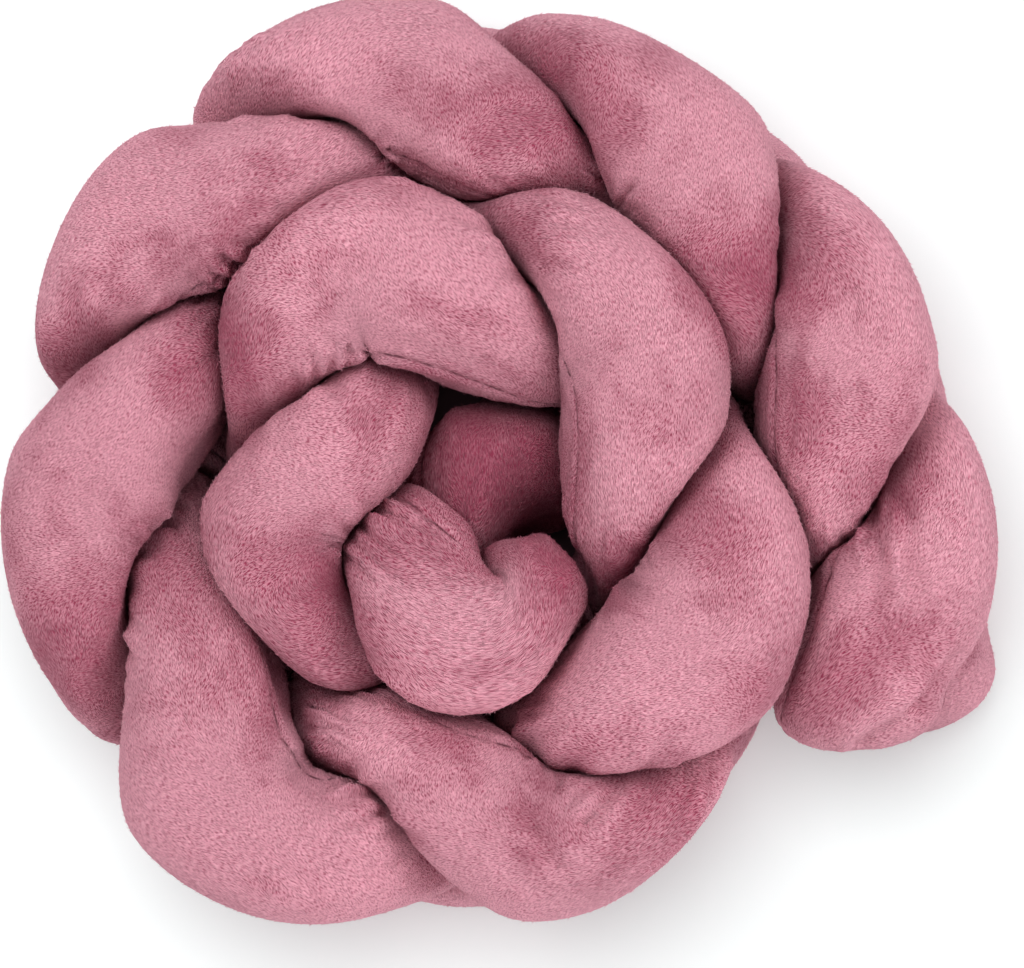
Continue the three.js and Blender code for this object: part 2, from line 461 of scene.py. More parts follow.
    def rooms(self, tube: TubePlan, spots: TubeSpots, directions: np.ndarray) -> np.ndarray:
        """Measures how far skin can go before it meets another tube, or another turn of its own.

        Args:
            tube: The tube's plan.
            spots: The tube's spots, one for each ring of skin.
            directions: The ways out of each spot, as rings by sides by three.

        Returns:
            The room in each direction, as rings by sides.
        """
        pressing = [(other is tube, self.pressing(other)) for other in TUBES]
        points = np.vstack([found.middle for _, found in pressing])
        pressures = np.concatenate([found.pressure for _, found in pressing])
        lengths = np.concatenate([found.at for _, found in pressing])
        owns = np.concatenate([np.full(len(found.at), own) for own, found in pressing])
        rooms = np.empty(directions.shape[:2])
        for ring, middle in enumerate(spots.middle):
            offsets = points - middle
            squares = np.sum(offsets * offsets, axis=1)
            beside = ~(owns & (np.abs(lengths - spots.at[ring]) < self.own_reach))
            kept = beside & (squares < self.press_range**2)
            square = squares[kept]
            most = np.where(owns[kept], 0, self.most_ground * square)
            contest = np.clip(spots.pressure[ring] - pressures[kept], -most, most)
            facing = directions[ring] @ offsets[kept].T
            ahead = facing > 0
            limits = (square + contest) / (2 * np.where(ahead, facing, 1))
            rooms[ring] = np.where(ahead, limits, np.inf).min(axis=1)
        return np.maximum(rooms - self.gap, rooms / 2)


@dataclass(frozen=True)
class FieldNoise:
    """Smooth random fields over a tube's skin, the same at each run.

    step and side are the spacings of the grid along the tube and round it.
    """

    rings: int
    sides: int
    step: float
    side: float

    def waves(self, length: float, seed: int, width: float = 0.35) -> np.ndarray:
        """Makes soft lumps of about one size.

        Args:
            length: The distance from one lump to the next.
            seed: Which field to make.
            width: How much the lumps' sizes vary, as a share.

        Returns:
            Values about zero with a spread of one, as rings by sides.
        """
        white = np.random.default_rng(seed).standard_normal((self.rings, self.sides))
        along = np.fft.fftfreq(self.rings, self.step)[:, None]
        around = np.fft.fftfreq(self.sides, self.side)[None, :]
        pitch = np.hypot(along, around) * length
        band = np.exp(-(((pitch - 1) / width) ** 2))
        lumps = np.real(np.fft.ifft2(np.fft.fft2(white) * band))
        return lumps / lumps.std()


def blurred(grid: np.ndarray, passes: int) -> np.ndarray:
    """Softens a field on a tube's skin, which closes on itself round the tube.

    Args:
        grid: Values as rings by sides.
        passes: How often to average each value with its neighbours.

    Returns:
        The softened values.
    """
    for _ in range(passes):
        grid = (np.roll(grid, 1, axis=1) + 2 * grid + np.roll(grid, -1, axis=1)) / 4
        ends = np.vstack([grid[:1], grid, grid[-1:]])
        grid = (ends[:-2] + 2 * grid + ends[2:]) / 4
    return grid


def sampled(grid: np.ndarray, ring: np.ndarray, side: np.ndarray) -> np.ndarray:
    """Reads a field between the points of its grid.

    Args:
        grid: Values as rings by sides, with any further axis.
        ring: Places along the tube, counted in rings.
        side: Places round the tube, counted in sides.

    Returns:
        One value, or row of values, for each place.
    """
    rings, sides = grid.shape[:2]
    ring = np.clip(ring, 0, rings - 1 - GRID_EDGE)
    low, left = np.floor(ring).astype(int), np.floor(side).astype(int)
    up, right = ring - low, side - left
    if grid.ndim > 2:
        up, right = up[..., None], right[..., None]
    left, after = left % sides, (left + 1) % sides
    near = grid[low, left] * (1 - right) + grid[low, after] * right
    far = grid[low + 1, left] * (1 - right) + grid[low + 1, after] * right
    return near * (1 - up) + far * up


@dataclass(frozen=True)
class Gathers:
    """Small ridges that run square to a crease.

    They start where the skin round about is pressed as begin says, and end where the skin itself is
    pressed as end says. stray is how strong they are away from the listed gathers.
    """

    pitch: float = 0.014
    height: float = 0.0024
    reach: float = 0.045
    strides: int = 13
    least_slope: float = 1e-6
    slope_passes: int = 4
    begin_passes: int = 24
    begin: Span = (0.005, 0.05)
    end: Span = (0.12, 0.28)
    stray: float = 0.2
    stray_pitch: float = 0.11
    stray_range: Span = (-0.3, 1.3)


@dataclass(frozen=True)
class SeamGroove:
    """The groove of a sewn seam, with a soft lip on both sides that is given in shares of the groove."""

    depth: float = 0.0016
    width: float = 0.0018
    lip_height: float = 0.25
    lip_place: float = 3.0
    lip_width: float = 1.5


@dataclass(frozen=True)
class PileLay:
    """How the pile lies: which way it runs, where it is brushed up and looks dark, and where shade is
    painted beside creases and in the coil's eye.

    Its way drifts over long stretches, and swirls where the pile is brushed up. mottle has a pitch and a
    strength in each row.
    """

    angle: float = math.radians(30)
    drift_pitch: float = 0.16
    drift: float = 0.55
    swirl_pitch: float = 0.045
    swirl: float = 0.6
    crease_passes: int = 12
    crease_press: Span = (0.02, 0.2)
    crease_shade: float = 0.4
    mottle: tuple[Span, ...] = ((0.060, 0.20), (0.025, 0.12), (0.012, 0.08))
    dark: Span = (0.0, 1.1)
    deep_shade: Span = (1.1, 2.0)
    deep_shade_share: float = 0.6
    hidden_press: Span = (0.3, 0.5)


@dataclass
class TubeSkin:
    """The plush skin of one stuffed tube, as a grid of points: rings along the tube, sides round it."""

    plan: TubePlan
    plait: Plait
    seed: int
    gathers: Gathers = Gathers()
    groove: SeamGroove = SeamGroove()
    pile_lay: PileLay = PileLay()
    ring_step: float = 0.0040
    sides: int = 128
    seam_crowding: float = 0.55
    cap_length: float = 0.045
    cap_rings: int = 16
    sewn_squareness: float = 0.3
    boxiness: float = 2.5
    firmness: float = 14.0
    steepest: float = 1.0
    taut_laps: int = 2
    taut_passes: int = 2
    floor_give: float = 0.006
    floor_gap: float = 0.0006
    upper_tilt: Span = (0.0, 0.3)
    upper_from: Span = (0.09, 0.12)
    lump_pitch: float = 0.075
    lump_height: float = 0.0010
    lump_press: Span = (0.02, 0.25)

    def __post_init__(self) -> None:
        """Shapes the skin."""
        self._set_rings()
        self._set_sides()
        self._press()
        self._shape()
        self._finish()

    def _set_rings(self) -> None:
        """Places the rings, crowded where the ends close."""
        length = self.plait.line(self.plan)[1][-1]
        closing = np.linspace(0, math.pi / 2, self.cap_rings + 1)[1:-1]
        cap = self.cap_length * (1 - np.cos(closing))
        steps = round((length - 2 * self.cap_length) / self.ring_step)
        body = np.linspace(self.cap_length, length - self.cap_length, steps + 1)
        self.at = np.concatenate([cap, body, (length - cap)[::-1]])
        whole = np.ones(len(body))
        start, stop = np.sin(closing), np.sin(closing)[::-1]
        flat_stop = stop**self.sewn_squareness if self.plan.end is TubeEnd.SEWN_FLAT else stop
        self.open_up = np.concatenate([start, whole, stop])
        self.open_across = np.concatenate([start, whole, flat_stop])
        self.spots = self.plait.spots(self.plan, self.at)
        self.tips = self.plait.spots(self.plan, np.array([0.0, length])).middle

    def _set_sides(self) -> None:
        """Places the sides round the tube from its seam, crowded beside the seam."""
        share = np.arange(self.sides) / self.sides
        self.round = FULL_TURN * share - self.seam_crowding * np.sin(FULL_TURN * share)
        angle = math.radians(self.plan.seam) + self.round
        spots = self.spots
        self.cos, self.sin = np.cos(angle), np.sin(angle)
        self.directions = (
            spots.across[:, None, :] * self.cos[None, :, None]
            + spots.upward[:, None, :] * self.sin[None, :, None]
        )

    def _press(self) -> None:
        """Works out how far the skin reaches: its free shape, pressed in by what lies beside it."""
        spots = self.spots
        power = self.boxiness
        sideways = np.abs(self.cos / spots.thick[:, None]) ** power
        upright = np.abs(self.sin / spots.wide[:, None]) ** power
        free = (sideways + upright) ** (-1 / power)
        room = self.plait.rooms(self.plan, spots, self.directions)
        falling = -self.directions[:, :, 2]
        height = spots.middle[:, 2:3]
        room = np.minimum(room, self._to_floor(height + self.floor_give, falling))
        firm = self.firmness
        reach = (free**-firm + room**-firm) ** (-1 / firm)
        reach = blurred(self._tautened(reach), self.taut_passes)
        self.reach = np.minimum(reach, self._to_floor(height - self.floor_gap, falling))
        self.pressed = 1 - np.clip(self.reach / free, 0, 1)

    @staticmethod
    def _to_floor(height: np.ndarray, falling: np.ndarray) -> np.ndarray:
        """Returns how far it is to the floor in each direction, given how fast that direction falls."""
        return np.where(falling > 0, height / np.where(falling > 0, falling, 1), np.inf)

    def _tautened(self, reach: np.ndarray) -> np.ndarray:
        """Draws taut skin down beside a pressed place.

        Args:
            reach: How far the skin would go, as rings by sides.

        Returns:
            The same, rising no faster than steepest.
        """
        reach = reach.copy()
        rises = self.steepest * np.diff(self.at)
        for ring, rise in enumerate(rises, start=1):
            reach[ring] = np.minimum(reach[ring], reach[ring - 1] + rise)
        for ring in range(len(rises) - 1, -1, -1):
            reach[ring] = np.minimum(reach[ring], reach[ring + 1] + rises[ring])
        widths = np.diff(np.append(self.round, FULL_TURN)) * self.plait.radius * self.steepest
        for _ in range(self.taut_laps):
            for side in range(self.sides):
                before = reach[:, side - 1] + widths[side - 1]
                reach[:, side] = np.minimum(reach[:, side], before)
            for side in range(self.sides - 1, -1, -1):
                after = reach[:, (side + 1) % self.sides] + widths[side]
                reach[:, side] = np.minimum(reach[:, side], after)
        return reach

    def _points(self, reach: np.ndarray) -> np.ndarray:
        """Places the skin's points, drawn together where the ends close.

        Args:
            reach: How far the skin goes, as rings by sides.

        Returns:
            The points, as rings by sides by three.
        """
        spots = self.spots
        out = (reach * self.cos * self.open_across[:, None])[:, :, None] * spots.across[:, None, :]
        rise = (reach * self.sin * self.open_up[:, None])[:, :, None] * spots.upward[:, None, :]
        return spots.middle[:, None, :] + out + rise

    @staticmethod
    def _normals(points: np.ndarray) -> np.ndarray:
        """Finds the ways out of the skin.

        Args:
            points: The skin's points.

        Returns:
            One direction for each point.
        """
        along = np.gradient(points, axis=0)
        around = np.roll(points, -1, axis=1) - np.roll(points, 1, axis=1)
        return unit(np.cross(around, along))

    def _shape(self) -> None:
        """Adds lumps of filling, puckers beside the creases, the groove of the seam and the folds."""
        points = self._points(self.reach)
        side = FULL_TURN * self.plait.radius / self.sides
        self.noise = FieldNoise(len(self.at), self.sides, self.ring_step, side)
        bare = 1 - smoothstep(self.pressed, *self.lump_press)
        lumps = self.lump_height * self.noise.waves(self.lump_pitch, self.seed + Draw.LUMPS) * bare
        facing_up = smoothstep(self._normals(points)[:, :, 2], *self.upper_tilt)
        self.upper = facing_up * smoothstep(points[:, :, 2], *self.upper_from)
        raised = lumps + self._puckers(points) + self._groove() + self._folds(points)
        closing = np.minimum(self.open_up, self.open_across)[:, None]
        points = points + self._normals(points) * (raised * closing)[:, :, None]
        points[:, :, 2] = np.maximum(points[:, :, 2], self.floor_gap)
        self.points = points
        self.normals = self._normals(points)

    @staticmethod
    def _patched(points: np.ndarray, patches: tuple[Patch, ...]) -> np.ndarray:
        """Adds up the patches that lie on the skin.

        Args:
            points: The skin's points.
            patches: The patches.

        Returns:
            How strong they are, as rings by sides.
        """
        total = np.zeros(points.shape[:2])
        for patch in patches:
            away = np.hypot(points[:, :, 0] - patch.x, points[:, :, 1] - patch.y)
            total += patch.depth * np.exp(-((away / patch.reach) ** 2))
        return total

    def _folds(self, points: np.ndarray) -> np.ndarray:
        """Presses the folds into the upper side of the skin.

        Args:
            points: The skin's points.

        Returns:
            How far the skin sinks, or stands up beside a fold, as rings by sides.
        """
        total = np.zeros(points.shape[:2])
        for fold in FOLDS:
            line = np.subtract(fold.stop, fold.start)
            offset = points[:, :, :2] - fold.start
            share = np.clip(offset @ line / (line @ line), 0, 1)
            away = np.linalg.norm(offset - share[:, :, None] * line, axis=2) / fold.width
            ridge = fold.ridge * np.exp(-((away - fold.ridge_away) ** 2))
            total += fold.depth * (ridge - np.exp(-(away**2)))
        return total * self.upper

    def _puckers(self, points: np.ndarray) -> np.ndarray:
        """Gathers the skin into small ridges that run square to each crease.

        Args:
            points: The skin's points.

        Returns:
            How far the ridges stand out, as rings by sides.
        """
        plan = self.gathers
        pressed = blurred(self.pressed, plan.slope_passes)
        widths = np.gradient(np.unwrap(self.round)) * self.plait.radius
        down_tube = np.gradient(pressed, axis=0) / self.ring_step
        round_tube = (np.roll(pressed, -1, axis=1) - np.roll(pressed, 1, axis=1)) / (2 * widths)
        steep = np.hypot(down_tube, round_tube) + plan.least_slope
        ring, side = np.meshgrid(np.arange(len(self.at)), np.arange(self.sides), indexing="ij")
        ridges = np.zeros_like(pressed)
        raw = self.noise.waves(plan.pitch, self.seed + Draw.RIDGES)
        for stride in np.linspace(-1, 1, plan.strides) * plan.reach / 2:
            rings = ring + stride * down_tube / steep / self.ring_step
            sides = side + stride * round_tube / steep / widths
            ridges += sampled(raw, rings, sides)
        ridges /= ridges.std()
        begun = smoothstep(blurred(pressed, plan.begin_passes), *plan.begin)
        near = begun * (1 - smoothstep(pressed, *plan.end))
        strays = self.noise.waves(plan.stray_pitch, self.seed + Draw.STRAYS)
        strength = plan.stray * smoothstep(strays, *plan.stray_range)
        strength = strength + self.upper * self._patched(points, GATHERED)
        return plan.height * near * strength * ridges

    def _groove(self) -> np.ndarray:
        """Sinks the skin along its seam, with a soft lip on both sides.

        Returns:
            How far the skin moves, as rings by sides.
        """
        plan = self.groove
        apart = np.minimum(self.round, FULL_TURN - self.round) * self.plait.radius / plan.width
        dip = np.exp(-(apart**2))
        lip = plan.lip_height * np.exp(-(((apart - plan.lip_place) / plan.lip_width) ** 2))
        return np.broadcast_to(plan.depth * (lip - dip), self.reach.shape)

    def _finish(self) -> None:
        """Lays the pile: which way it runs, where it is brushed dark, where shade is painted on it, and
        how bare each place lies.
        """
        plan = self.pile_lay
        self.nap_and_shade = self._brushed_and_shaded()
        drift = plan.drift * self.noise.waves(plan.drift_pitch, self.seed + Draw.DRIFT)
        swirl = plan.swirl * self.nap_and_shade * self.noise.waves(plan.swirl_pitch, self.seed + Draw.SWIRL)
        self.lay_turn = plan.angle + drift + swirl
        along = unit(np.gradient(self.points, axis=0))
        ahead = unit(np.roll(self.points, -1, axis=1) - np.roll(self.points, 1, axis=1))
        turn = self.lay_turn[:, :, None]
        self.lay = unit(along * np.cos(turn) + ahead * np.sin(turn))
        self.bare = 1 - smoothstep(self.pressed, *plan.hidden_press)

    def _brushed_and_shaded(self) -> np.ndarray:
        """Finds where the pile is brushed up and looks dark, and where shade is painted beside creases
        and in the coil's eye.

        Returns:
            How dark the pile looks from brushing and painted shade, from nought, as rings by sides.
        """
        plan = self.pile_lay
        # Painted shade: the pile darkens beside each crease, where the tubes press together.
        beside = smoothstep(blurred(self.pressed, plan.crease_passes), *plan.crease_press)
        marks = plan.crease_shade * beside + self._patched(self.points, BRUSHED_UP_AND_SHADE)
        for number, (pitch, strength) in enumerate(plan.mottle, start=Draw.MOTTLE):
            marks = marks + strength * self.noise.waves(pitch, self.seed + number)
        # Marks past the first span add more painted shade, deepest in the coil's eye.
        return smoothstep(marks, *plan.dark) + plan.deep_shade_share * smoothstep(marks, *plan.deep_shade)

    def mesh(self) -> bpy.types.Mesh:
        """Joins the skin's points into one closed mesh.

        Returns:
            The mesh, with UV maps of the pile and the seam, and as attributes the lay and the pile's
            darkness from brushing and painted shade.
        """
        rings, sides = self.reach.shape
        ring, side = np.meshgrid(np.arange(rings - 1), np.arange(sides), indexing="ij")
        after = (side + 1) % sides
        here, above = ring * sides, (ring + 1) * sides
        rounds = [here + side, here + after, above + after, above + side]
        quads = np.stack(rounds, axis=-1).reshape(-1, 4)
        first, last = rings * sides, rings * sides + 1
        loop = np.arange(sides)
        nose = np.stack([np.full(sides, first), (loop + 1) % sides, loop], axis=1)
        top = (rings - 1) * sides
        tail = np.stack([np.full(sides, last), top + loop, top + (loop + 1) % sides], axis=1)
        points = np.vstack([self.points.reshape(-1, 3), self.tips])
        mesh = mesh_of(self.plan.name + "_plush", points, [quads, nose, tail])
        self._add_maps(mesh, rings, sides)
        return mesh

    def _add_maps(self, mesh: bpy.types.Mesh, rings: int, sides: int) -> None:
        """Writes the pile's and the seam's UV maps, the pile's darkness from brushing and painted shade,
        and its lay.

        Args:
            mesh: The skin's mesh.
            rings: How many rings it has.
            sides: How many sides it has.
        """
        corner = np.empty(len(mesh.loops), dtype=np.int32)
        mesh.loops.foreach_get("vertex_index", corner)
        face_start = np.empty(len(mesh.polygons), dtype=np.int32)
        mesh.polygons.foreach_get("loop_start", face_start)
        ring = np.minimum(corner // sides, rings - 1)
        side = corner % sides
        tip = corner >= rings * sides
        ring[corner == rings * sides] = 0
        counts = np.diff(np.append(face_start, len(corner)))
        face = np.repeat(np.arange(len(face_start)), counts)
        last_side = np.zeros(len(face_start), dtype=bool)
        np.logical_or.at(last_side, face[(side == sides - 1) & ~tip], True)
        wrapped = last_side[face] & (side == 0) & ~tip
        angle = np.where(wrapped, FULL_TURN, self.round[side])
        pile = np.stack([self.at[ring], angle * self.plait.radius], axis=1)
        mesh.uv_layers.new(name="pile").data.foreach_set("uv", pile.astype(np.float32).ravel())
        turned = np.where(self.round > math.pi, self.round - FULL_TURN, self.round)
        seam = np.stack([self.at[ring], turned[side] * self.plait.radius], axis=1)
        mesh.uv_layers.new(name="seam").data.foreach_set("uv", seam.astype(np.float32).ravel())
        # The pile's darkness from brushing and painted shade goes to the mesh as a point attribute.
        nap_and_shade = np.concatenate([self.nap_and_shade.ravel(), [0, 0]])
        attribute = mesh.attributes.new("nap_and_shade", "FLOAT", "POINT")
        attribute.data.foreach_set("value", nap_and_shade.astype(np.float32))
        doubled = 2 * np.concatenate([self.lay_turn.ravel(), [0, 0]])
        lay = np.stack([np.cos(doubled), np.sin(doubled), np.zeros(len(doubled))], axis=1)
        attribute = mesh.attributes.new("lay", "FLOAT_VECTOR", "POINT")
        attribute.data.foreach_set("vector", lay.astype(np.float32).ravel())


def mesh_of(name: str, points: np.ndarray, groups: list[np.ndarray]) -> bpy.types.Mesh:
    """Makes a mesh from arrays.

    Args:
        name: The mesh's name.
        points: The vertices.
        groups: Arrays of faces, each with one number of corners.

    Returns:
        The mesh, shaded smooth.
    """
    mesh = bpy.data.meshes.new(name)
    loops = np.concatenate([group.ravel() for group in groups]).astype(np.int32)
    counts = np.concatenate([np.full(len(group), group.shape[1]) for group in groups])
    starts = np.concatenate([[0], np.cumsum(counts)[:-1]]).astype(np.int32)
    mesh.vertices.add(len(points))
    mesh.vertices.foreach_set("co", points.astype(np.float32).ravel())
    mesh.loops.add(len(loops))
    mesh.loops.foreach_set("vertex_index", loops)
    mesh.polygons.add(len(starts))
    mesh.polygons.foreach_set("loop_start", starts)
    mesh.polygons.foreach_set("use_smooth", np.ones(len(starts), dtype=bool))
    mesh.update(calc_edges=True)
    return mesh


LOCK_FACES = np.array([[0, 1, 3], [1, 2, 3], [2, 0, 3], [0, 2, 1]])
LOCK_HEIGHTS = np.array([0.0, 0.0, 0.0, 1.0])


@dataclass
class Pile:
    """Locks of plush pile that stand on a tube's skin, each a thin closed spike of four faces.

    Their lengths and widths vary by the shares that are given, and heel_height is a share of half their
    width. They stand up from the skin by stand, in radians, and turn aside from the lay by ruffle. They
    thin out towards the floor over the heights in lowest.
    """

    skin: TubeSkin
    seed: int
    locks: int = 42000
    length: float = 0.0026
    length_shares: Span = (0.6, 1.2)
    width: float = 0.0006
    width_shares: Span = (0.7, 1.25)
    stand: float = math.radians(14)
    stand_spread: float = 0.16
    stand_range: Span = (0.05, 0.9)
    ruffle: float = 0.35
    root_depth: float = 0.0004
    heel_height: float = 0.8
    lowest: Span = (0.006, 0.036)

    def mesh(self) -> bpy.types.Mesh:
        """Plants the locks.

        Returns:
            The mesh of all locks, with a UV map whose height runs from root to tip.
        """
        draw = np.random.default_rng(self.seed)
        skin = self.skin
        ring, side = self._places(draw)
        root = sampled(skin.points, ring, side)
        normal = unit(sampled(skin.normals, ring, side))
        lay = unit(sampled(skin.lay, ring, side))
        turn = draw.normal(0, self.ruffle, len(ring))[:, None]
        lay = unit(lay * np.cos(turn) + np.cross(normal, lay) * np.sin(turn))
        lay = unit(lay - normal * np.sum(lay * normal, axis=1)[:, None])
        flank = np.cross(normal, lay)
        length = self.length * draw.uniform(*self.length_shares, len(ring))[:, None]
        half = self.width * draw.uniform(*self.width_shares, len(ring))[:, None] / 2
        stand = draw.normal(self.stand, self.stand_spread, len(ring))
        stand = np.clip(stand, *self.stand_range)[:, None]
        base = root - normal * self.root_depth
        tip = root + length * (lay * np.cos(stand) + normal * np.sin(stand))
        tip[:, 2] = np.maximum(tip[:, 2], skin.floor_gap)
        heel = base - lay * half + normal * half * self.heel_height
        left, right = base + flank * half, base - flank * half
        points = np.stack([left, right, heel, tip], axis=1).reshape(-1, 3)
        corners_each = len(LOCK_HEIGHTS)
        start = corners_each * np.arange(len(ring))[:, None, None]
        faces = (start + LOCK_FACES).reshape(-1, 3)
        mesh = mesh_of(skin.plan.name + "_pile", points, [faces])
        height = np.tile(LOCK_HEIGHTS, len(ring))
        shade = np.repeat(sampled(skin.nap_and_shade, ring, side), corners_each)
        uv = np.stack([shade[faces.ravel()], height[faces.ravel()]], axis=1)
        mesh.uv_layers.new(name="lock").data.foreach_set("uv", uv.astype(np.float32).ravel())
        return mesh

    def _places(self, draw: np.random.Generator) -> tuple[np.ndarray, np.ndarray]:
        """Picks places for the locks, more of them where the skin lies bare.

        Args:
            draw: The source of chance.

        Returns:
            Places along the tube in rings, and round it in sides.
        """
        skin = self.skin
        rings, sides = skin.reach.shape
        along = np.linalg.norm(np.gradient(skin.points, axis=0), axis=2)
        ahead = np.roll(skin.points, -1, axis=1) - np.roll(skin.points, 1, axis=1)
        area = along * np.linalg.norm(ahead, axis=2)
        high = smoothstep(skin.points[:, :, 2], *self.lowest)
        weight = (area * skin.bare * high)[: rings - 1].ravel()
        cell = draw.choice(len(weight), self.locks, p=weight / weight.sum())
        ring = cell // sides + draw.uniform(0, 1, self.locks)
        side = cell % sides + draw.uniform(0, 1, self.locks)
        return ring, side


Number = Union[float, "Shade"]


class Shade:
    """A value in a material, for writing shader maths as plain expressions."""

    def __init__(self, board: "Board", socket: bpy.types.NodeSocket) -> None:
        """Wraps one socket of the board's node tree."""
        self.board = board
        self.socket = socket

    def _with(self, operation: str, first: Number, second: Number) -> "Shade":
        """Returns the result of one maths node."""
        return self.board.node("ShaderNodeMath", {"operation": operation}, {0: first, 1: second})

    def __add__(self, other: Number) -> "Shade":
        """Adds."""
        return self._with("ADD", self, other)

    def __radd__(self, other: Number) -> "Shade":
        """Adds from the left."""
        return self._with("ADD", other, self)

    def __sub__(self, other: Number) -> "Shade":
        """Subtracts."""
        return self._with("SUBTRACT", self, other)

    def __rsub__(self, other: Number) -> "Shade":
        """Subtracts from a number."""
        return self._with("SUBTRACT", other, self)

    def __mul__(self, other: Number) -> "Shade":
        """Multiplies."""
        return self._with("MULTIPLY", self, other)

    def __rmul__(self, other: Number) -> "Shade":
        """Multiplies from the left."""
        return self._with("MULTIPLY", other, self)

    def __truediv__(self, other: Number) -> "Shade":
        """Divides."""
        return self._with("DIVIDE", self, other)

    def __pow__(self, other: Number) -> "Shade":
        """Raises to a power."""
        return self._with("POWER", self, other)

    def __abs__(self) -> "Shade":
        """Drops the sign."""
        return self._with("ABSOLUTE", self, 0.0)

    def step(self, low: float, high: float) -> "Shade":
        """Makes a soft step.

        Args:
            low: Where it gives 0.
            high: Where it gives 1.

        Returns:
            The step.
        """
        settings = {"interpolation_type": "SMOOTHSTEP"}
        sockets = {"Value": self, "From Min": low, "From Max": high}
        return self.board.node("ShaderNodeMapRange", settings, sockets)


Value = Union[float, tuple, "Shade"]


class Board:
    """The node tree of one material."""

    def __init__(self, name: str) -> None:
        """Starts a material with an empty Principled shader.

        Args:
            name: The material's name.
        """
        self.material = bpy.data.materials.new(name)
        self.material.use_nodes = True
        self.tree = self.material.node_tree
        self.shader = self.tree.nodes["Principled BSDF"]

    def node(
        self,
        kind: str,
        settings: dict[str, Any],
        sockets: dict[Union[str, int], Value],
        output: Union[str, int] = 0,
    ) -> Shade:
        """Adds a node.

        Args:
            kind: The node's type.
            settings: Its own settings, which are set first.
            sockets: Values or links for its inputs.
            output: Which output to give back.

        Returns:
            The wrapped output.
        """
        made = self.tree.nodes.new(kind)
        for name, value in settings.items():
            setattr(made, name, value)
        for name, value in sockets.items():
            self._feed(made.inputs[name], value)
        return Shade(self, made.outputs[output])

    def _feed(self, socket: bpy.types.NodeSocket, value: Value) -> None:
        """Links or sets one input.

        Args:
            socket: The input.
            value: What it gets.
        """
        if isinstance(value, Shade):
            self.tree.links.new(value.socket, socket)
        else:
            socket.default_value = value

    def blend(self, share: Value, first: Value, second: Value) -> Shade:
        """Mixes two colours.

        Args:
            share: How much of the second colour shows.
            first: The first colour.
            second: The second colour.

        Returns:
            The mixed colour.
        """
        settings = {"data_type": "RGBA"}
        return self.node("ShaderNodeMix", settings, {0: share, 6: first, 7: second}, 2)

    def noise(self, sockets: dict[Union[str, int], Value]) -> Shade:
        """Returns flat noise about a half, with values or links for its inputs."""
        return self.node("ShaderNodeTexNoise", {"noise_dimensions": "2D"}, sockets)

    def dress(self, **sockets: Value) -> bpy.types.Material:
        """Feeds the shader's inputs.

        Args:
            sockets: Values by input name, with underscores for spaces.

        Returns:
            The finished material.
        """
        for name, value in sockets.items():
            self._feed(self.shader.inputs[name.replace("_", " ")], value)
        return self.material


